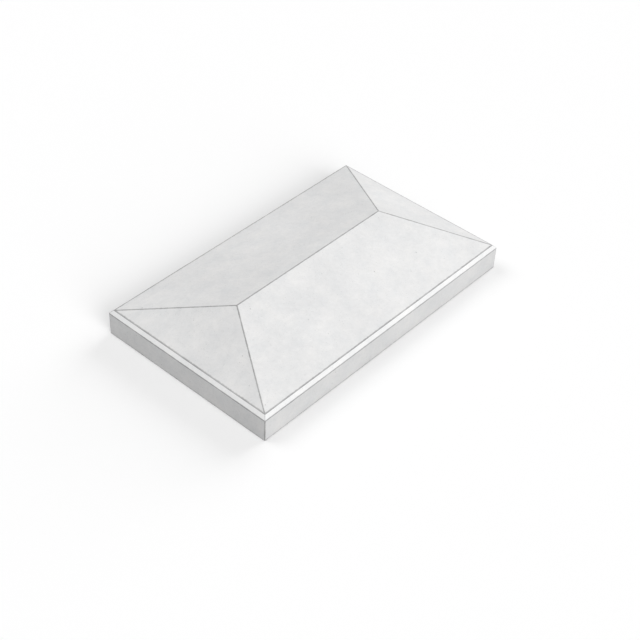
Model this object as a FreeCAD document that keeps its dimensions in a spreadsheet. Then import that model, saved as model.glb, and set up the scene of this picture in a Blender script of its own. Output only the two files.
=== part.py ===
"""Cast concrete pier cap: a slab with a bevelled top edge, a hipped top that sheds water from a short
ridge, and a drip groove under the overhang. It is one casting. All lengths are in millimetres."""

import FreeCAD, Part
import Sketcher
import math
import os

# The frame has X along the cap, Y across it and Z up. The origin is the centre of the bed face.

SHEET = "Sizes"
CAP = "pier_cap"
TOLERANCE = 0.001
CUBIC_MM_PER_LITRE = 1e6

# Driving dimensions, measured to the sharp corners: alias, value and meaning.
SIZES = [
    ("cap_length", 500, "overall length"),
    ("cap_width", 300, "overall width"),
    ("cap_height", 80, "bed face to ridge"),
    ("edge_height", 37, "upright face, from the bed to the bevel"),
    ("bevel_inset", 5, "how far the bevel goes in from the upright face"),
    ("bevel_rise", 5, "how far the bevel rises"),
    ("ridge_length", 298, "ridge, from one hip end to the other"),
    ("groove_setback", 20, "upright face to the near lip of the drip groove"),
    ("groove_radius", 5, "half-round section of the drip groove"),
    ("arris_radius", 1.5, "rounding that the mould leaves on the outer arrises"),
]

# Places that the sketches share, as expressions of the sheet.
END_FACE = f"{SHEET}.cap_length / 2"
SIDE_FACE = f"{SHEET}.cap_width / 2"
BED = "0"
WALL_TOP = f"{SHEET}.edge_height"
SLOPE_FOOT = f"{SHEET}.edge_height + {SHEET}.bevel_rise"
RIDGE = f"{SHEET}.cap_height"
RIDGE_END = f"{SHEET}.ridge_length / 2"
CENTRE = "0"
BEVEL_INSET = f"{SHEET}.bevel_inset"
GROOVE_RADIUS = f"{SHEET}.groove_radius"
GROOVE_LINE = f"{SHEET}.groove_setback + {SHEET}.groove_radius"


def minus(expression):
    return f"-({expression})"


def inside(face, inset):
    """The place that lies an inset in from a face."""
    return f"{face} - ({inset})"


def make_sheet(doc):
    """The spreadsheet of driving dimensions, one row each."""
    sheet = doc.addObject("Spreadsheet::Sheet", SHEET)
    for row, (alias, value, meaning) in enumerate(SIZES, start=1):
        sheet.set(f"A{row}", alias)
        sheet.set(f"B{row}", str(value))
        sheet.set(f"C{row}", meaning)
        sheet.setAlias(f"B{row}", alias)
    doc.recompute()
    return sheet


def origin_plane(body, role):
    return next(f for f in body.Origin.OriginFeatures if f.Role == role)


def new_sketch(body, name, role):
    """An empty sketch on one of the body's origin planes."""
    sketch = body.newObject("Sketcher::SketchObject", name)
    sketch.AttachmentSupport = [(origin_plane(body, role), "")]
    sketch.MapMode = "FlatFace"
    return sketch


def dimension(sketch, name, constraint, expression):
    """Adds a named dimension and binds it to the sheet."""
    sketch.renameConstraint(sketch.addConstraint(constraint), name)
    sketch.setExpression(f"Constraints.{name}", expression)


def closed_outline(body, name, role, corners):
    """A closed polygon. Each corner is (across, up), two expressions that dimension it from the origin.
    The corners start evenly round a small circle, and the dimensions then move them to their places."""
    sketch = new_sketch(body, name, role)
    count = len(corners)
    turns = [2 * math.pi * i / count for i in range(count)]
    start = [FreeCAD.Vector(math.cos(turn), math.sin(turn), 0) for turn in turns]
    for i in range(count):
        sketch.addGeometry(Part.LineSegment(start[i], start[(i + 1) % count]), False)
    for i in range(count):
        sketch.addConstraint(Sketcher.Constraint("Coincident", i, 2, (i + 1) % count, 1))
    for i, (across, up) in enumerate(corners):
        along_x = Sketcher.Constraint("DistanceX", -1, 1, i, 1, start[i].x)
        along_y = Sketcher.Constraint("DistanceY", -1, 1, i, 1, start[i].y)
        dimension(sketch, f"corner_{i}_across", along_x, across)
        dimension(sketch, f"corner_{i}_up", along_y, up)
    return sketch


def slab_with_hip_ends(doc, body):
    """The long elevation, from bed to ridge with a slope at each end, padded across the cap's width."""
    half = [
        (END_FACE, BED),
        (END_FACE, WALL_TOP),
        (inside(END_FACE, BEVEL_INSET), SLOPE_FOOT),
        (RIDGE_END, RIDGE),
    ]
    other_half = [(minus(across), up) for across, up in reversed(half)]
    pad = body.newObject("PartDesign::Pad", "HipEnds")
    pad.Profile = closed_outline(body, "LongElevation", "XZ_Plane", half + other_half)
    pad.SideType = "Symmetric"
    pad.setExpression("Length", f"{SHEET}.cap_width")
    doc.recompute()
    return pad


def cut_side_slopes(doc, body):
    """The waste above one long side's bevel and slope is cut away, and mirrored to the other side."""
    waste = [
        (SIDE_FACE, WALL_TOP),
        (SIDE_FACE, RIDGE),
        (CENTRE, RIDGE),
        (inside(SIDE_FACE, BEVEL_INSET), SLOPE_FOOT),
    ]
    pocket = body.newObject("PartDesign::Pocket", "SideSlope")
    pocket.Profile = closed_outline(body, "SideWaste", "YZ_Plane", waste)
    pocket.SideType = "Symmetric"
    pocket.Type = "ThroughAll"
    doc.recompute()
    mirrored = body.newObject("PartDesign::Mirrored", "BothSideSlopes")
    mirrored.Originals = [pocket]
    mirrored.MirrorPlane = (origin_plane(body, "XZ_Plane"), [""])
    body.Tip = mirrored
    doc.recompute()
    return mirrored


def cut_drip_groove(doc, body):
    """A half-round groove under the overhang, swept round the bed with mitred corners."""
    end_run = inside(END_FACE, GROOVE_LINE)
    side_run = inside(SIDE_FACE, GROOVE_LINE)
    route = [
        (CENTRE, minus(side_run)),
        (end_run, minus(side_run)),
        (end_run, side_run),
        (minus(end_run), side_run),
        (minus(end_run), minus(side_run)),
    ]
    path = closed_outline(body, "GroovePath", "XY_Plane", route)
    section = new_sketch(body, "GrooveSection", "YZ_Plane")
    rod = Part.Circle(FreeCAD.Vector(-1, 0, 0), FreeCAD.Vector(0, 0, 1), 1)
    section.addGeometry(rod, False)
    section.addConstraint(Sketcher.Constraint("PointOnObject", 0, 3, -1))
    place = Sketcher.Constraint("DistanceX", -1, 1, 0, 3, rod.Center.x)
    dimension(section, "groove_place", place, minus(side_run))
    dimension(section, "groove_radius", Sketcher.Constraint("Radius", 0, rod.Radius), GROOVE_RADIUS)
    doc.recompute()
    groove = body.newObject("PartDesign::SubtractivePipe", "DripGroove")
    groove.Profile = section
    groove.Spine = (path, [f"Edge{i}" for i in range(1, len(route) + 1)])
    groove.Transition = "Right corner"
    doc.recompute()
    return groove


def soften_arrises(doc, body, sheet):
    """Rounds the upright corners and every arris above them: bevel edges, hips and ridge."""
    base = body.Tip
    arrises = []
    for i, edge in enumerate(base.Shape.Edges, start=1):
        if edge.BoundBox.ZMax > sheet.edge_height - TOLERANCE:
            arrises.append(f"Edge{i}")
    fillet = body.newObject("PartDesign::Fillet", "MouldArris")
    fillet.Base = (base, arrises)
    fillet.setExpression("Radius", f"{SHEET}.arris_radius")
    doc.recompute()
    return fillet


def check_features(doc, steps):
    """Stops if a feature failed, or if a cut or rounding took nothing off the feature before it."""
    for item in doc.Objects:
        if {"Invalid", "Error"} & set(item.State):
            raise RuntimeError(f"{item.Label} failed: {item.State}")
    for before, after in zip(steps, steps[1:]):
        if after.Shape.Volume >= before.Shape.Volume:
            raise RuntimeError(f"{after.Label} removed nothing")


def export(body):
    """Writes the finished solid, once it is known to be sound."""
    shape = body.Shape
    if shape.isNull() or not shape.isValid() or len(shape.Solids) != 1:
        raise RuntimeError(f"{body.Label} is not one sound solid")
    os.makedirs("parts", exist_ok=True)
    shape.exportStep(f"parts/{body.Label}.step")
    print(f"{body.Label}: {shape.Volume / CUBIC_MM_PER_LITRE:.3f} litres, {len(shape.Faces)} faces")


def main():
    doc = FreeCAD.newDocument("pier_cap")
    sheet = make_sheet(doc)
    cap = doc.addObject("PartDesign::Body", "PierCap")
    cap.Label = CAP
    cap.Placement = FreeCAD.Placement()
    steps = [
        slab_with_hip_ends(doc, cap),
        cut_side_slopes(doc, cap),
        cut_drip_groove(doc, cap),
        soften_arrises(doc, cap, sheet),
    ]
    check_features(doc, steps)
    export(cap)


main()
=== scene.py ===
# %% [markdown]
# A pier cap is the concrete lid that is bedded on top of a brick or block pillar. It is cast upside down in
# a mould as one block: upright edge faces, a small bevel, and a hipped top that falls from a short ridge, so
# that rain runs off. Under the overhang a drip groove makes the water let go before it reaches the pillar.
#
# This lesson dresses the measured model of the cap. The measured solid stays where it is, hidden, and a
# finely meshed casting takes its place, with the rounded edges, uneven skin and air holes of real concrete.

import math

import bpy
from mathutils import Matrix, Vector


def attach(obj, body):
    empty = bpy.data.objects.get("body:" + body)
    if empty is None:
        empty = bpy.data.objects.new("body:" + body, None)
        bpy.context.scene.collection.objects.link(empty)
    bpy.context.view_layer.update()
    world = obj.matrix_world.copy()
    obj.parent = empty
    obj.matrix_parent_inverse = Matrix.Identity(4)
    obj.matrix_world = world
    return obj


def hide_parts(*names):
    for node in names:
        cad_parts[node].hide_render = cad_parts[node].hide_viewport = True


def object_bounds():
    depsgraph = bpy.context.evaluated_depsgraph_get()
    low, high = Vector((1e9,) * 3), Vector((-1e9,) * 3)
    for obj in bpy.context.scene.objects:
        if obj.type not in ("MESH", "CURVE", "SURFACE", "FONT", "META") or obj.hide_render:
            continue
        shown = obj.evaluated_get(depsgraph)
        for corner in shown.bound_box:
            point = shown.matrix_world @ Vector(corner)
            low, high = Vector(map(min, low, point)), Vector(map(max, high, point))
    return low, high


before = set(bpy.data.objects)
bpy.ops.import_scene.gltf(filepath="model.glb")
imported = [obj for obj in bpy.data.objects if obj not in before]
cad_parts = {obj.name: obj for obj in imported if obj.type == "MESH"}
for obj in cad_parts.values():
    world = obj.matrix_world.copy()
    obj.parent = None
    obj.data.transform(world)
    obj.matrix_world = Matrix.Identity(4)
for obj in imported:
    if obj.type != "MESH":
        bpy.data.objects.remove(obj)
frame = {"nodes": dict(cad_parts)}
cad_low, cad_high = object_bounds()
MM = 0.001
print("measured pieces:", ", ".join(frame["nodes"]))
print("measured box, mm:", [round(side / MM, 2) for side in cad_high - cad_low])

# %% [markdown]
# Everything is in metres. The overall length, width and height come from the measured model, and the other
# sizes are those of the mould. They could be typed wherever they are needed, but a size that is written once
# is also changed in one place. An arris is the line where two faces meet.

# %% Sizes of the cap
LENGTH = cad_high.x - cad_low.x
WIDTH = cad_high.y - cad_low.y
CROWN_HEIGHT = cad_high.z
RIDGE_HEIGHT = 80 * MM
RIDGE_LENGTH = 298 * MM
EDGE_HEIGHT = 37 * MM
BEVEL = 5 * MM
GROOVE_SETBACK = 20 * MM
GROOVE_RADIUS = 5 * MM
ARRIS_RADIUS = 1.5 * MM
BED_ARRIS_RADIUS = 0.8 * MM
HIP_RADIUS = 0.45 * MM

SIDE_RUN = WIDTH / 2 - BEVEL
END_RUN = (LENGTH - RIDGE_LENGTH) / 2 - BEVEL
SLOPE_RISE = RIDGE_HEIGHT - EDGE_HEIGHT - BEVEL
for slope, run in (("side", SIDE_RUN), ("end", END_RUN)):
    print(f"{slope} slopes fall {math.degrees(math.atan2(SLOPE_RISE, run)):.1f} degrees")

# %% [markdown]
# Both the shape and the finish are made with node trees. Nodes can be placed by hand in the editor, but a
# script can be read again and rerun. Two helpers keep it short: `put` adds a node and feeds its inputs, and
# `plug` feeds one input, with a link or with a plain value.

# %% Helpers that add nodes
def plug(tree, value, socket):
    """Links a wire or an output to an input, or sets a plain value on it."""
    if isinstance(value, Wire):
        value = value.socket
    if isinstance(value, bpy.types.NodeSocket):
        tree.links.new(value, socket)
    else:
        socket.default_value = value


def put(tree, kind, feeds=None, **settings):
    """Adds a node. Settings are its own options, and feeds go to its inputs, by name or by number."""
    made = tree.nodes.new(kind)
    for name, value in settings.items():
        setattr(made, name, value)
    for key, value in (feeds or {}).items():
        plug(tree, value, made.inputs[key])
    return made


print("helpers that add nodes:", plug.__name__, "and", put.__name__)

# %% [markdown]
# Sums are the other half of a tree. Written as single Math nodes, even a short one is hard to follow. So a
# `Wire` holds a number that flows through a tree, and arithmetic on wires, such as `inset * 2 + gap`, adds
# the Math nodes for it.

# %% Helper for sums
class Wire:
    """A number in a node tree. Arithmetic on wires adds Math nodes to the tree."""

    def __init__(self, tree, socket):
        self.tree = tree
        self.socket = socket

    def work_out(self, operation, *terms):
        made = put(self.tree, "ShaderNodeMath", dict(enumerate(terms)), operation=operation)
        return Wire(self.tree, made.outputs[0])

    def __add__(self, other):
        return self.work_out("ADD", self, other)

    def __radd__(self, other):
        return self.work_out("ADD", other, self)

    def __sub__(self, other):
        return self.work_out("SUBTRACT", self, other)

    def __rsub__(self, other):
        return self.work_out("SUBTRACT", other, self)

    def __mul__(self, other):
        return self.work_out("MULTIPLY", self, other)

    def __truediv__(self, other):
        return self.work_out("DIVIDE", self, other)

    def __mod__(self, other):
        return self.work_out("MODULO", self, other)

    def __pow__(self, other):
        return self.work_out("POWER", self, other)

    def __abs__(self):
        return self.work_out("ABSOLUTE", self)

    def least(self, other):
        return self.work_out("MINIMUM", self, other)

    def most(self, other):
        return self.work_out("MAXIMUM", self, other)

    def above(self, other):
        return self.work_out("GREATER_THAN", self, other)

    def pick(self, if_one, if_zero):
        """The first value where this wire is 1, the second where it is 0, and a blend in between."""
        return self * (if_one - if_zero) + if_zero

    def fade(self, start, end):
        """Goes smoothly from 0 at start to 1 at end, or the other way round if start is the larger."""
        feeds = {"Value": self, "From Min": start, "From Max": end}
        made = put(self.tree, "ShaderNodeMapRange", feeds, interpolation_type="SMOOTHSTEP")
        return Wire(self.tree, made.outputs[0])


print("sums on wires: + - * / % ** abs")

# %% [markdown]
# The casting follows one rule: cut it level at any height and the cut is a rectangle. All that changes from
# level to level is where the rectangle's corner stands. So the tree draws the path of the section once, from
# the middle of the bed, through the drip groove, up the edge face, over the bevel and up the slope to the
# ridge. Then it turns every point of that path into a rectangle. A box with bevels would also do, but the
# rule gives clean rows of faces along every arris, and any size can be changed on the modifier.

# %% Start the tree of the casting
casting = bpy.data.node_groups.new("cast cap", "GeometryNodeTree")
casting.interface.new_socket("Geometry", in_out="OUTPUT", socket_type="NodeSocketGeometry")
casting_sizes = {
    "Length": LENGTH,
    "Width": WIDTH,
    "Crown Height": CROWN_HEIGHT,
    "Ridge Height": RIDGE_HEIGHT,
    "Ridge Length": RIDGE_LENGTH,
    "Edge Height": EDGE_HEIGHT,
    "Bevel": BEVEL,
    "Groove Setback": GROOVE_SETBACK,
    "Groove Radius": GROOVE_RADIUS,
    "Arris Radius": ARRIS_RADIUS,
    "Bed Arris Radius": BED_ARRIS_RADIUS,
    "Hip Radius": HIP_RADIUS,
    "Face Size": 3.5 * MM,
    "Skin Depth": 0.4 * MM,
    "Hole Radius": 1.1 * MM,
    "Holes per Square Metre": 2000.0,
}
casting_sockets = {}
for name in casting_sizes:
    casting_sockets[name] = casting.interface.new_socket(name, in_out="INPUT", socket_type="NodeSocketFloat")
for name, kind in (("Seed", "NodeSocketInt"), ("Finish", "NodeSocketMaterial")):
    casting_sockets[name] = casting.interface.new_socket(name, in_out="INPUT", socket_type=kind)
casting_in = put(casting, "NodeGroupInput")
print("named inputs:", ", ".join(casting_sockets))


def size(name):
    """A named input of the tree, as a wire."""
    return Wire(casting, casting_in.outputs[name])


# %% [markdown]
# The section is what a saw cut from the edge face to the middle would show. Its path has ten corners, each
# with an inset from the edge face, a height and a radius. The groove's two upper corners get the radius of
# the groove, so that they meet in a half round, and most others the small rounding that a mould leaves. The
# path could be drawn by hand as a curve, but corners made from named sizes follow each change of a size.

# %% Corners of the section
middle = size("Width") / 2
inner_lip = size("Groove Setback") + size("Groove Radius") * 2
slope_foot = size("Edge Height") + size("Bevel")
slope_run = middle - size("Bevel")
crown_run = (size("Ridge Height") - size("Crown Height")) * slope_run / (size("Ridge Height") - slope_foot)
section_corners = [
    (middle, 0.0, 0.0),
    (inner_lip, 0.0, 0.0),
    (inner_lip, size("Groove Radius"), size("Groove Radius")),
    (size("Groove Setback"), size("Groove Radius"), size("Groove Radius")),
    (size("Groove Setback"), 0.0, 0.0),
    (0.0, 0.0, size("Bed Arris Radius")),
    (0.0, size("Edge Height"), size("Arris Radius")),
    (size("Bevel"), slope_foot, size("Arris Radius")),
    (middle - crown_run, size("Crown Height"), size("Arris Radius")),
    (middle, size("Crown Height"), 0.0),
]
print(len(section_corners), "corners on the section path")

# %% [markdown]
# The corners become a line of points, and the line becomes a curve, because curves can be rounded and cut
# into steps. Index Switch hands each point its own place and radius, Fillet Curve rounds the corners, and
# Subdivide Curve cuts the straight runs between them into even steps, for faces of an even size.

# %% Section path from the bed to the ridge
ARC_POINTS = 4


def point(tree, x, y, z):
    """A vector made from three numbers."""
    return put(tree, "ShaderNodeCombineXYZ", {0: x, 1: y, 2: z}).outputs[0]


def choose(data_type, options):
    """Gives each point of a line its own value, by its number along the line."""
    chooser = put(casting, "GeometryNodeIndexSwitch", data_type=data_type)
    while len(chooser.index_switch_items) < len(options):
        chooser.index_switch_items.new()
    plug(casting, put(casting, "GeometryNodeInputIndex").outputs[0], chooser.inputs["Index"])
    for number, option in enumerate(options, start=1):
        plug(casting, option, chooser.inputs[number])
    return chooser.outputs[0]


def rounded(curve, radius):
    """Rounds the corners of a curve."""
    feeds = {"Curve": curve, "Count": ARC_POINTS, "Radius": radius, "Limit Radius": True}
    return put(casting, "GeometryNodeFilletCurve", feeds, mode="POLY").outputs[0]


def stepped(curve, step):
    """Adds points along the straight runs of a curve, about one step apart."""
    here = put(casting, "GeometryNodeInputPosition").outputs[0]
    after = put(casting, "GeometryNodeOffsetPointInCurve", {"Offset": 1}).outputs["Point Index"]
    sample = put(casting, "GeometryNodeFieldAtIndex", data_type="FLOAT_VECTOR")
    plug(casting, here, sample.inputs["Value"])
    plug(casting, after, sample.inputs["Index"])
    gap = put(casting, "ShaderNodeVectorMath", {0: here, 1: sample.outputs[0]}, operation="DISTANCE")
    cuts = Wire(casting, gap.outputs["Value"]) / step
    return put(casting, "GeometryNodeSubdivideCurve", {"Curve": curve, "Cuts": cuts}).outputs[0]


places = choose("VECTOR", [point(casting, inset, 0.0, height) for inset, height, _ in section_corners])
radii = choose("FLOAT", [radius for _, _, radius in section_corners])
stations = put(casting, "GeometryNodeMeshLine", {"Count": len(section_corners)}).outputs[0]
stations = put(casting, "GeometryNodeSetPosition", {"Geometry": stations, "Position": places}).outputs[0]
section = put(casting, "GeometryNodeMeshToCurve", {"Mesh": stations}).outputs[0]
section = stepped(rounded(section, radii), size("Face Size"))
print("section path with", ARC_POINTS, "points on each rounded corner")

# %% [markdown]
# Each point of the path now stands for one level of the cap. It keeps two facts for later: where the corner
# of its rectangle is, and how round that corner is. Up to the bevel the rectangle shrinks by the same amount
# on all sides. Up the slope the ends move in more slowly than the sides, because the hips run to the ends of
# a ridge. The upright corners are rounder than the hips, whose faces meet at a flatter angle. A third fact
# marks the bed, the open side of the mould, which was floated flat by hand. Facts could be worked out again
# wherever they are needed, but stored on the points they travel along through the nodes that follow.

# %% Corner of each level
def split(tree, vector):
    """The three coordinates of a vector, as wires."""
    made = put(tree, "ShaderNodeSeparateXYZ", {0: vector})
    return [Wire(tree, socket) for socket in made.outputs]


def keep(geometry, name, value, data_type="FLOAT", domain="POINT"):
    """Stores a value on the geometry under a name."""
    feeds = {"Geometry": geometry, "Name": name, "Value": value}
    store = put(casting, "GeometryNodeStoreNamedAttribute", feeds, data_type=data_type, domain=domain)
    return store.outputs[0]


inset, _, height = split(casting, put(casting, "GeometryNodeInputPosition").outputs[0])
upper = height.above(size("Edge Height") / 2)
hip_share = ((size("Length") - size("Ridge Length")) / 2 - size("Bevel")) / slope_run
past_bevel = (inset - size("Bevel")).most(0.0)
end_inset = inset - upper * past_bevel * (1.0 - hip_share)
corner = point(casting, size("Length") / 2 - end_inset, middle - inset, height)
top_rounding = (inset / size("Bevel")).least(1.0).pick(size("Hip Radius"), size("Arris Radius"))
bed_rounding = (size("Arris Radius") - inset).most(0.0)
corner_rounding = upper.pick(top_rounding, bed_rounding).least(middle - inset)
section = keep(section, "level_corner", corner, "FLOAT_VECTOR")
section = keep(section, "level_rounding", corner_rounding)
section = keep(section, "floated", 1.0 - height.above(size("Bed Arris Radius") / 2))
print("levels keep their corner and its rounding")

# %% [markdown]
# Every level could have a rectangle of its own, but one is enough, because only its size changes. It is drawn
# as a square from -1 to 1, cut into columns, with a tiny rounding at its corners. Each of its points keeps
# its share of the half length and half width, and the way that the rounding points there.

# %% Unit rectangle
UNIT_ROUNDING = 0.001
UNIT_LIMIT = 1 - UNIT_ROUNDING


def vector_sum(tree, operation, *terms):
    """One step of arithmetic on vectors."""
    return put(tree, "ShaderNodeVectorMath", dict(enumerate(terms)), operation=operation).outputs["Vector"]


square = put(casting, "GeometryNodeCurvePrimitiveQuadrilateral", {"Width": 2.0, "Height": 2.0}).outputs[0]
side_number = Wire(casting, put(casting, "GeometryNodeInputIndex").outputs[0])
columns = (side_number % 2.0).pick(size("Width"), size("Length")) / size("Face Size")
square = put(casting, "GeometryNodeSubdivideCurve", {"Curve": square, "Cuts": columns}).outputs[0]
along, across, _ = split(casting, put(casting, "GeometryNodeInputPosition").outputs[0])
at_corner = (abs(along) * abs(across)).above(UNIT_LIMIT)
square = rounded(square, at_corner * UNIT_ROUNDING)
place = put(casting, "GeometryNodeInputPosition").outputs[0]
inner = vector_sum(casting, "MINIMUM", place, (UNIT_LIMIT, UNIT_LIMIT, 0.0))
inner = vector_sum(casting, "MAXIMUM", inner, (-UNIT_LIMIT, -UNIT_LIMIT, 0.0))
side_share = vector_sum(casting, "DIVIDE", inner, (UNIT_LIMIT, UNIT_LIMIT, 1.0))
outward = vector_sum(casting, "SUBTRACT", place, inner)
outward = vector_sum(casting, "DIVIDE", outward, (UNIT_ROUNDING, UNIT_ROUNDING, 1.0))
square = keep(square, "side_share", side_share, "FLOAT_VECTOR")
square = keep(square, "outward", outward, "FLOAT_VECTOR")
print("unit rectangle with", ARC_POINTS, "points on each corner")

# %% [markdown]
# Geometry Nodes has no loft through a row of outlines, but a sweep can stand in for it. Curve to Mesh sweeps
# the square along a plain upright line that has one point for each level. The tube that comes out carries the
# facts of both curves, so a single Set Position can give each vertex its real place: share times half size,
# plus rounding times direction. Merge by Distance then closes the bed and the ridge, where the last
# rectangles have shrunk to a line.

# %% Tube of levels, shaped into the cap
SEAM = 0.001 * MM


def kept(name, data_type="FLOAT"):
    """Reads a stored value back."""
    return put(casting, "GeometryNodeInputNamedAttribute", {"Name": name}, data_type=data_type).outputs[0]


level_number = put(casting, "GeometryNodeInputIndex").outputs[0]
upright_line = point(casting, 0.0, 0.0, level_number)
section = put(casting, "GeometryNodeSetPosition", {"Geometry": section, "Position": upright_line}).outputs[0]
shell = put(casting, "GeometryNodeCurveToMesh", {"Curve": section, "Profile Curve": square}).outputs[0]
level_corner = kept("level_corner", "FLOAT_VECTOR")
level_rounding = kept("level_rounding")
_, _, level_height = split(casting, level_corner)
rounding = point(casting, level_rounding, level_rounding, 0.0)
half_size = vector_sum(casting, "SUBTRACT", level_corner, rounding)
on_side = vector_sum(casting, "MULTIPLY", kept("side_share", "FLOAT_VECTOR"), half_size)
on_arc = vector_sum(casting, "MULTIPLY", kept("outward", "FLOAT_VECTOR"), rounding)
shell_place = vector_sum(casting, "ADD", on_side, on_arc)
shell_place = vector_sum(casting, "ADD", shell_place, point(casting, 0.0, 0.0, level_height))
shell = put(casting, "GeometryNodeSetPosition", {"Geometry": shell, "Position": shell_place}).outputs[0]
shell = put(casting, "GeometryNodeMergeByDistance", {"Geometry": shell, "Distance": SEAM}).outputs[0]
print("levels joined into one closed shell")

# %% [markdown]
# A mould face is never quite flat, so the shell gets a skin: two scales of noise push each vertex inwards by
# a fraction of a millimetre. A Displace modifier could do it too, but in the tree the depth stays a named
# input. Pushing only inwards keeps the casting inside its measured box, and the spots where the noise is
# lowest stay where they are, so the cap still stands on the floor. The floated bed is about twice as uneven
# as the faces that lay against the mould.

# %% Uneven skin
BROAD_WAVE = 75 * MM
SHORT_WAVE = 22 * MM
BROAD_SHARE = 0.75
LOWEST_WAVE = 0.3


def noise(tree, place, patch, detail=2.0, roughness=0.5):
    """Cloudy noise from 0 to 1, with patches of about the given size in metres."""
    feeds = {"Vector": place, "Scale": 1 / patch, "Detail": detail, "Roughness": roughness}
    return Wire(tree, put(tree, "ShaderNodeTexNoise", feeds).outputs[0])


here = put(casting, "GeometryNodeInputPosition").outputs[0]
broad = noise(casting, here, BROAD_WAVE, detail=1.0)
short = noise(casting, here, SHORT_WAVE, detail=1.0)
wave = broad * BROAD_SHARE + short * (1 - BROAD_SHARE)
hollow = ((wave - LOWEST_WAVE) / (1 - LOWEST_WAVE)).most(0.0)
skin_depth = size("Skin Depth") * hollow * (1.0 + Wire(casting, kept("floated")))
facing = put(casting, "GeometryNodeInputNormal").outputs[0]
push = put(casting, "ShaderNodeVectorMath", {0: facing, "Scale": skin_depth * -1.0}, operation="SCALE")
pushed = {"Geometry": shell, "Offset": push.outputs[0]}
skin = put(casting, "GeometryNodeSetPosition", pushed).outputs[0]
print("skin up to", casting_sizes["Skin Depth"] / MM, "mm deep, and twice that on the bed")

# %% [markdown]
# Air that was trapped against the mould leaves small round holes. It rises while the mix is wet, so most are
# on the upright faces, few on the slopes, which lay at the bottom of the mould, and few on the bed. Their
# places could be set by hand, but Distribute Points on Faces scatters them at random, keeps them apart and
# takes a share for each face. A fixed seed gives the same holes on each run.

# %% Places of the air holes
SLOPE_HOLES = 0.2
BED_HOLES = 0.12
UPRIGHT = 0.3
SLANTED = 0.5
RADII_APART = 3.0
_, _, facing_up = split(casting, facing)
level_holes = facing_up.above(0.0).pick(SLOPE_HOLES, BED_HOLES)
hole_share = abs(facing_up).fade(SLANTED, UPRIGHT).pick(1.0, level_holes)
hole_spots = {
    "Mesh": skin,
    "Distance Min": size("Hole Radius") * RADII_APART,
    "Density Max": size("Holes per Square Metre"),
    "Density Factor": hole_share,
    "Seed": casting_in.outputs["Seed"],
}
spots = put(casting, "GeometryNodeDistributePointsOnFaces", hole_spots, distribute_method="POISSON")
print("up to", casting_sizes["Holes per Square Metre"], "holes per square metre on the edge faces")

# %% [markdown]
# Bump could fake the holes, but as shapes they catch real shadow and are there in the mesh. So each place
# gets a small flattened ball, and a Boolean cuts the balls out of the skin. The power on the random number
# makes most of them tiny. Each ball is lifted a little, so that the rim of its hole doesn't hang over.

# %% Air holes
SMALLEST_HOLE = 0.28
SMALL_HOLE_POWER = 3.0
HOLE_FLATNESS = 0.8
HOLE_LIFT = 0.17
HOLE_SEAM = 0.01 * MM
draw = put(casting, "FunctionNodeRandomValue", {"Seed": casting_in.outputs["Seed"]}, data_type="FLOAT")
hole_draw = Wire(casting, draw.outputs[1]) ** SMALL_HOLE_POWER
hole_radius = size("Hole Radius") * hole_draw.pick(1.0, SMALLEST_HOLE)
ball = put(casting, "GeometryNodeMeshIcoSphere", {"Radius": 1.0, "Subdivisions": 2}).outputs[0]
lifted = {"Geometry": ball, "Translation": (0.0, 0.0, HOLE_LIFT)}
ball = put(casting, "GeometryNodeTransform", lifted).outputs[0]
ball_places = {
    "Points": spots.outputs["Points"],
    "Instance": keep(ball, "air_hole", 1.0, domain="FACE"),
    "Rotation": spots.outputs["Rotation"],
    "Scale": point(casting, hole_radius, hole_radius, hole_radius * HOLE_FLATNESS),
}
balls = put(casting, "GeometryNodeInstanceOnPoints", ball_places).outputs[0]
balls = put(casting, "GeometryNodeRealizeInstances", {"Geometry": balls}).outputs[0]
cut = put(casting, "GeometryNodeMeshBoolean", operation="DIFFERENCE", solver="MANIFOLD")
plug(casting, skin, cut.inputs["Mesh 1"])
plug(casting, balls, cut.inputs["Mesh 2"])
cast = cut.outputs["Mesh"]
cast = put(casting, "GeometryNodeMergeByDistance", {"Geometry": cast, "Distance": HOLE_SEAM}).outputs[0]
print("holes up to", casting_sizes["Hole Radius"] / MM, "mm in radius")

# %% [markdown]
# Last, the tree drops the facts that only served to shape the shell. Flat shading would show each face of the
# mesh, and smooth shading alone would smear the rims of the holes, so the faces are shaded smooth and edges
# with a sharp bend stay crisp. The result is made real and given its finish, which is another named input.

# %% Shading, finish and output of the tree
CRISP_ANGLE = math.radians(35)
for name in ("level_corner", "level_rounding", "side_share", "outward", "id"):
    cast = put(casting, "GeometryNodeRemoveAttribute", {"Geometry": cast, "Name": name}).outputs[0]
bend = Wire(casting, put(casting, "GeometryNodeInputMeshEdgeAngle").outputs["Unsigned Angle"])
for domain, where, smooth in (("FACE", True, True), ("EDGE", bend.above(CRISP_ANGLE), False)):
    shading = {"Geometry": cast, "Selection": where, "Shade Smooth": smooth}
    cast = put(casting, "GeometryNodeSetShadeSmooth", shading, domain=domain).outputs[0]
cast = put(casting, "GeometryNodeRealizeInstances", {"Geometry": cast}).outputs[0]
finished = {"Geometry": cast, "Material": casting_in.outputs["Finish"]}
cast = put(casting, "GeometryNodeSetMaterial", finished).outputs[0]
put(casting, "NodeGroupOutput", {"Geometry": cast})
print("tree has", len(casting.nodes), "nodes")

# %% [markdown]
# The finish is plain cast concrete. Its pattern could lie on a UV map, which has to be unwrapped first, but
# here it is made from the cap's own coordinates, in metres. So the grain has its true size and stays in place
# from every side. The first step reads the coordinates of a spot, how far in it lies from the edge faces, and
# whether it is on a slope, on the bevel or on an edge face.

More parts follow.
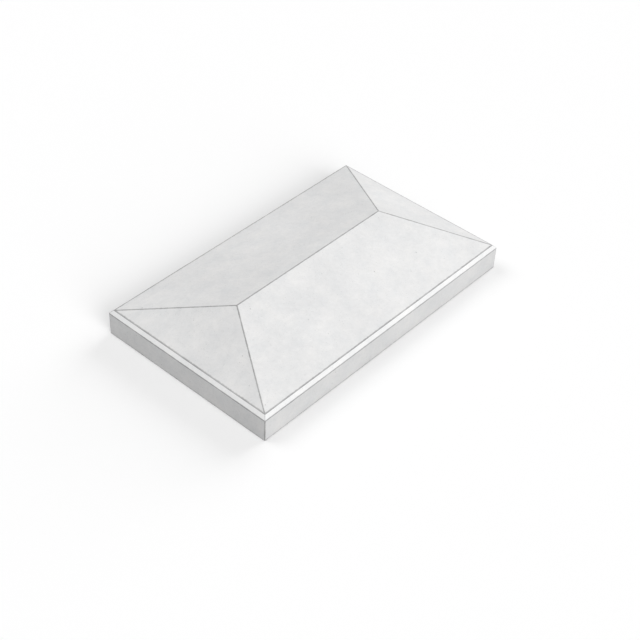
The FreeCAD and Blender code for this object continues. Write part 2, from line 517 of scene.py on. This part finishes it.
# %% Finish: where a spot lies
concrete = bpy.data.materials.new("cast concrete")
concrete.use_nodes = True
paint = concrete.node_tree
paint.nodes.clear()
spot = put(paint, "ShaderNodeTexCoord").outputs["Object"]
spot_x, spot_y, spot_z = split(paint, spot)
from_end = LENGTH / 2 - abs(spot_x)
from_side = WIDTH / 2 - abs(spot_y)
from_face = from_end.least(from_side)
on_top = spot_z.above(EDGE_HEIGHT)
on_slope = from_face.above(BEVEL)
print("the place of a spot takes", len(paint.nodes), "nodes")

# %% [markdown]
# One part of the pattern follows the shape: at the joints of the mould a little water seeps out, and the
# paste there sets denser and darker. So the next step finds how far each spot is from the nearest arris. It
# could be painted by hand, but the rule that shaped the cap also gives each arris as a short sum. The lines
# are wider at the foot of the slopes and on the edge faces, where the boards of the mould met, and narrower
# on the bevel, which is narrow itself.

# %% Finish: distance to the nearest arris
HIP_RUN = math.hypot(END_RUN, SIDE_RUN)
from_hip = abs((from_end - BEVEL) * (SIDE_RUN / HIP_RUN) - (from_side - BEVEL) * (END_RUN / HIP_RUN))
from_ridge = abs(spot_y) + (abs(spot_x) - RIDGE_LENGTH / 2).most(0.0)
from_foot = abs(from_face - BEVEL)
from_mitre = abs(from_end - from_side)
from_wall_top = abs(spot_z - EDGE_HEIGHT).most(from_face)
from_corner = from_end.most(from_side)
from_bed_arris = spot_z + from_face
FOOT_SHARE = 1.8
BEVEL_FOOT_SHARE = 0.2
BEVEL_SHARE = 0.55
EDGE_SHARE = 1.5
slope_arris = from_hip.least(from_ridge).least(from_foot / FOOT_SHARE)
bevel_arris = (from_mitre.least(from_wall_top) / BEVEL_SHARE).least(from_foot / BEVEL_FOOT_SHARE)
edge_arris = from_corner.least(from_wall_top).least(from_bed_arris) / EDGE_SHARE
from_arris = on_top.pick(on_slope.pick(slope_arris, bevel_arris), edge_arris)
print("with the distance to the nearest arris there are", len(paint.nodes), "nodes")

# %% [markdown]
# Concrete is cement paste with sand in it, and the eye reads it at several scales. Clouds a hand wide come
# from uneven damp while it set, mottling a thumb wide from the mould oil, and grit a few millimetres wide
# from the mix. An image wrapped round the cap could show them, but it would have seams at the arrises. Noise
# in the cap's own coordinates runs on from face to face.

# %% Finish: clouds, mottling and grit
CLOUD_SIZE = 120 * MM
MOTTLE_SIZE = 26 * MM
GRIT_SIZE = 6 * MM
cloud = noise(paint, spot, CLOUD_SIZE, detail=3.0)
mottle = noise(paint, spot, MOTTLE_SIZE, detail=4.0, roughness=0.6)
grit = noise(paint, spot, GRIT_SIZE, detail=4.0, roughness=0.75)
print("noise from", round(CLOUD_SIZE / MM), "down to", round(GRIT_SIZE / MM), "mm")

# %% [markdown]
# Close up there are single grains of sand and tiny pores. As scattered shapes they would be far too many, so
# they are specks in the cells of a Voronoi texture, each with a size of its own. A fine noise bends the cells
# first, so that no speck is quite round. The random number of a cell says whether its grain is dark, light or
# hidden. The pores are dark specks: painted shade that stands in for the shade inside tiny holes.

# %% Finish: sand and pores
GRAIN_SPACING = 1.4 * MM
PORE_SPACING = 2.5 * MM
WOBBLE = 0.9 * MM
SPECK_CORE = 0.6
DARK_SHARE = 0.08
LIGHT_SHARE = 0.08
PORE_SHARE = 0.6
wobble = put(paint, "ShaderNodeTexNoise", {"Vector": spot, "Scale": 1 / WOBBLE}).outputs["Color"]
bent_spot = vector_sum(paint, "MULTIPLY_ADD", wobble, (WOBBLE, WOBBLE, WOBBLE), spot)


def specks(spacing, smallest, largest):
    """One speck in each cell, with radii as shares of the spacing, and a random number for each cell."""
    cells = put(paint, "ShaderNodeTexVoronoi", {"Vector": bent_spot, "Scale": 1 / spacing})
    draw, size_draw, _ = split(paint, cells.outputs["Color"])
    radius = size_draw.pick(largest, smallest)
    return Wire(paint, cells.outputs["Distance"]).fade(radius, radius * SPECK_CORE), draw


grain, grain_draw = specks(GRAIN_SPACING, smallest=0.2, largest=0.5)
dark_grain = grain * grain_draw.above(1 - DARK_SHARE)
light_grain = grain * (1.0 - grain_draw.above(LIGHT_SHARE))
# Painted shade: each pore is a dark speck in the colour, besides a dip in the bump.
pore, pore_draw = specks(PORE_SPACING, smallest=0.06, largest=0.16)
pore = pore * pore_draw.above(1 - PORE_SHARE)
print("sand and pores added,", len(paint.nodes), "nodes so far")

# %% [markdown]
# Three patterns belong to places on the cap. The lines along the arrises come from the distance to them. Grit
# makes the lines ragged, and a noise makes them stronger here and fainter there. The insides of the air holes
# and the floated bed were marked on the mesh, and Attribute nodes read those marks. The insides of the holes
# are painted darker, as painted shade in the hollows. The bed also has faint streaks along the cap, because
# it was struck off with a straight edge: they are noise that is drawn out in one direction.

# %% Finish: arris lines, painted shade in the air holes, and bed
ARRIS_LINE = 1.5 * MM
LINE_CORE = 0.2
LINE_PATCH = 12 * MM
STRONGEST_LINE = 1.5
FAINTEST_LINE = 0.5
STREAK_WIDTH = 8 * MM
STREAK_LENGTH = 130 * MM
ragged = from_arris + (grit - 0.5) * ARRIS_LINE
patchy = noise(paint, spot, LINE_PATCH).pick(STRONGEST_LINE, FAINTEST_LINE)
arris_line = ragged.fade(ARRIS_LINE, ARRIS_LINE * LINE_CORE) * patchy
# Painted shade: the insides of the air holes are darkened in the colour.
painted_hole_shade = Wire(paint, put(paint, "ShaderNodeAttribute", attribute_name="air_hole").outputs["Fac"])
floated = Wire(paint, put(paint, "ShaderNodeAttribute", attribute_name="floated").outputs["Fac"])
drawn_out = vector_sum(paint, "MULTIPLY", spot, (STREAK_WIDTH / STREAK_LENGTH, 1.0, 1.0))
streak = (noise(paint, drawn_out, STREAK_WIDTH, detail=3.0) - 0.5) * floated
# Painted highlight: the bevel is made paler in the colour, in place of light along the edge.
painted_bevel_highlight = on_top * (1.0 - on_slope)
print("lines of", ARRIS_LINE / MM, "mm on each side of a hip or the ridge")

# %% [markdown]
# The paste has the colour of pale ash, and each pattern makes it a little lighter or darker. Mix nodes could
# lay the patterns over each other, but in a sum the order doesn't matter, and each strength can be read as a
# share of the tone. The bevel is painted paler: a painted highlight that stands in for light along that edge.

# %% Finish: colour
PALE_ASH = 0.735
WARMTH = 0.03
tones = [
    (cloud - 0.5, 0.20),
    (mottle - 0.5, 0.20),
    (grit - 0.5, 0.18),
    (light_grain, 0.07),
    (dark_grain, -0.16),
    (pore, -0.20),
    (painted_bevel_highlight, 0.15),
    (arris_line, -0.52),
    (painted_hole_shade, -0.22),
    (floated, -0.05),
    (streak, 0.20),
]


def weigh(patterns, start):
    """Adds up patterns, each times its strength."""
    return sum((pattern * strength for pattern, strength in patterns), start=start)


shade = weigh(tones, start=1.0) * PALE_ASH
warm = (mottle - 0.5) * WARMTH
channels = {0: shade * (1.0 + warm), 1: shade, 2: shade * (1.0 - warm)}
colour = put(paint, "ShaderNodeCombineColor", channels).outputs[0]
print(len(tones), "patterns in the colour")

# %% [markdown]
# Concrete is matt, and a shade less so where the mould oil lay. The relief of grit, sand, pores and streaks
# is too fine for the mesh, so a Bump node tilts the light on it instead.

# %% Finish: roughness and bump
MATT = 0.86
OIL_SHEEN = 0.2
RELIEF_DEPTH = 0.3 * MM
rough = MATT + (mottle - 0.5) * OIL_SHEEN
heights = [(grit, 0.6), (light_grain, 0.3), (dark_grain, 0.3), (pore, -1.0), (streak, 2.0)]
relief = weigh(heights, start=0.0)
bump = put(paint, "ShaderNodeBump", {"Strength": 0.5, "Distance": RELIEF_DEPTH, "Height": relief})
matt_feeds = {
    "Base Color": colour,
    "Roughness": rough,
    "Normal": bump.outputs[0],
    "Specular IOR Level": 0.3,
}
surface = put(paint, "ShaderNodeBsdfPrincipled", matt_feeds)
put(paint, "ShaderNodeOutputMaterial", {"Surface": surface.outputs[0]})
print("finish has", len(paint.nodes), "nodes")

# %% [markdown]
# The tree runs as a modifier on an empty mesh. Its inputs are set by the identifiers of their sockets, before
# the first evaluation. The modifier could stay live, but a plain mesh can be handed on to any program, so the
# evaluated result becomes one, and the modifier goes.

# %% Make the casting
cap = bpy.data.objects.new("cast_cap", bpy.data.meshes.new("cast_cap"))
bpy.context.scene.collection.objects.link(cap)
modifier = cap.modifiers.new("casting", "NODES")
modifier.node_group = casting
casting_values = {**casting_sizes, "Seed": 7, "Finish": concrete}
for name, value in casting_values.items():
    modifier[casting_sockets[name].identifier] = value
evaluated = cap.evaluated_get(bpy.context.evaluated_depsgraph_get())
cap.data = bpy.data.meshes.new_from_object(evaluated)
cap.modifiers.clear()
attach(cap, "root")
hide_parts("pier_cap")
hole_faces = sum(mark.value > 0 for mark in cap.data.attributes["air_hole"].data)
print("casting:", len(cap.data.vertices), "vertices and", len(cap.data.polygons), "faces")
print("faces in air holes:", hole_faces)

# %% [markdown]
# The cap lies on a plain white floor that runs on far past the picture's edge. A floor this white would throw
# much light back up at the edge faces, and a grey one would look grey. So its material asks the Light Path
# what is looking: the camera, and reflections, see white, while light that bounces to the cap meets a mid
# grey.

# %% Floor
FLOOR_SIZE = 16.0
SEEN_WHITE = 0.955
BOUNCE_GREY = 0.40


def seen_directly(tree):
    """1 where the camera, a reflection or a transmission looks, and 0 for light that bounces."""
    path = put(tree, "ShaderNodeLightPath")
    rays = [Wire(tree, path.outputs[f"Is {kind} Ray"]) for kind in ("Camera", "Glossy", "Transmission")]
    return rays[0].most(rays[1]).most(rays[2])


half = FLOOR_SIZE / 2
floor_corners = [(-half, -half, 0), (half, -half, 0), (half, half, 0), (-half, half, 0)]
floor_mesh = bpy.data.meshes.new("floor")
floor_mesh.from_pydata(floor_corners, [], [range(len(floor_corners))])
floor_paint = bpy.data.materials.new("white floor")
floor_paint.use_nodes = True
floor_nodes = floor_paint.node_tree
floor_nodes.nodes.clear()
floor_tone = seen_directly(floor_nodes).pick(SEEN_WHITE, BOUNCE_GREY)
floor_surface = put(floor_nodes, "ShaderNodeBsdfDiffuse", {"Color": floor_tone})
put(floor_nodes, "ShaderNodeOutputMaterial", {"Surface": floor_surface.outputs[0]})
floor_mesh.materials.append(floor_paint)
floor = bpy.data.objects.new("floor", floor_mesh)
bpy.context.scene.collection.objects.link(floor)
print("floor of", FLOOR_SIZE, "m laid")

# %% [markdown]
# The light is that of a plain studio. An even sky lights every face, and three broad lamps set the faces
# apart: a strong one in front for the long slope and the edge face below it, one high up behind for the back
# slope, and one low down at the far end. The first two stand a little towards the near end, so that its bevel
# shows up pale between the hip and the dark edge face. Area lamps would do as well, but they light near faces
# more than far ones. A Sun lamp lights all faces at the same angle, and a wide angle of its own makes its
# shadow on the floor soft.

# %% Light
LAMP_WIDTH = math.radians(40)
SKY_STRENGTH = 0.45
LAMPS = {
    "front": (Vector((-0.23, -0.87, 0.43)), 1.74),
    "back": (Vector((-0.23, 0.57, 0.79)), 0.78),
    "far_end": (Vector((0.92, 0.0, 0.39)), 1.28),
}
for name, (direction, strength) in LAMPS.items():
    light = bpy.data.lights.new(name, "SUN")
    light.energy = strength
    light.angle = LAMP_WIDTH
    lamp = bpy.data.objects.new(name, light)
    lamp.rotation_euler = direction.to_track_quat("Z", "Y").to_euler()
    bpy.context.scene.collection.objects.link(lamp)
world = bpy.data.worlds.new("studio")
world.use_nodes = True
world.node_tree.nodes.clear()
sky_level = seen_directly(world.node_tree).pick(1.0, SKY_STRENGTH)
sky = put(world.node_tree, "ShaderNodeBackground", {"Color": (1, 1, 1, 1), "Strength": sky_level})
put(world.node_tree, "ShaderNodeOutputWorld", {"Surface": sky.outputs[0]})
bpy.context.scene.world = world
bpy.context.scene.view_settings.view_transform = "Standard"
print(len(LAMPS), "lamps and a sky of", SKY_STRENGTH)

# %% [markdown]
# The camera looks down on the near corner from the left, from a little under two metres away, with a long
# lens, so that the far edges shrink only slightly. It is tilted sideways by about three degrees. It could be
# set by three angles, but a point for the eye and a point to aim at are easier to read.

# %% Camera
EYE = Vector((-1129.8, -974.3, 1285.5)) * MM
AIM = Vector((-49.5, -64.6, 30.0)) * MM
SIDE_TILT = math.radians(2.86)
LENS = 76.0
camera_data = bpy.data.cameras.new("camera")
camera_data.lens = LENS
camera = bpy.data.objects.new("camera", camera_data)
look = (AIM - EYE).to_track_quat("-Z", "Y").to_matrix().to_4x4()
camera.matrix_world = Matrix.Translation(EYE) @ look @ Matrix.Rotation(SIDE_TILT, 4, "Z")
bpy.context.scene.collection.objects.link(camera)
bpy.context.scene.camera = camera
print("camera", round((AIM - EYE).length, 2), "m away")
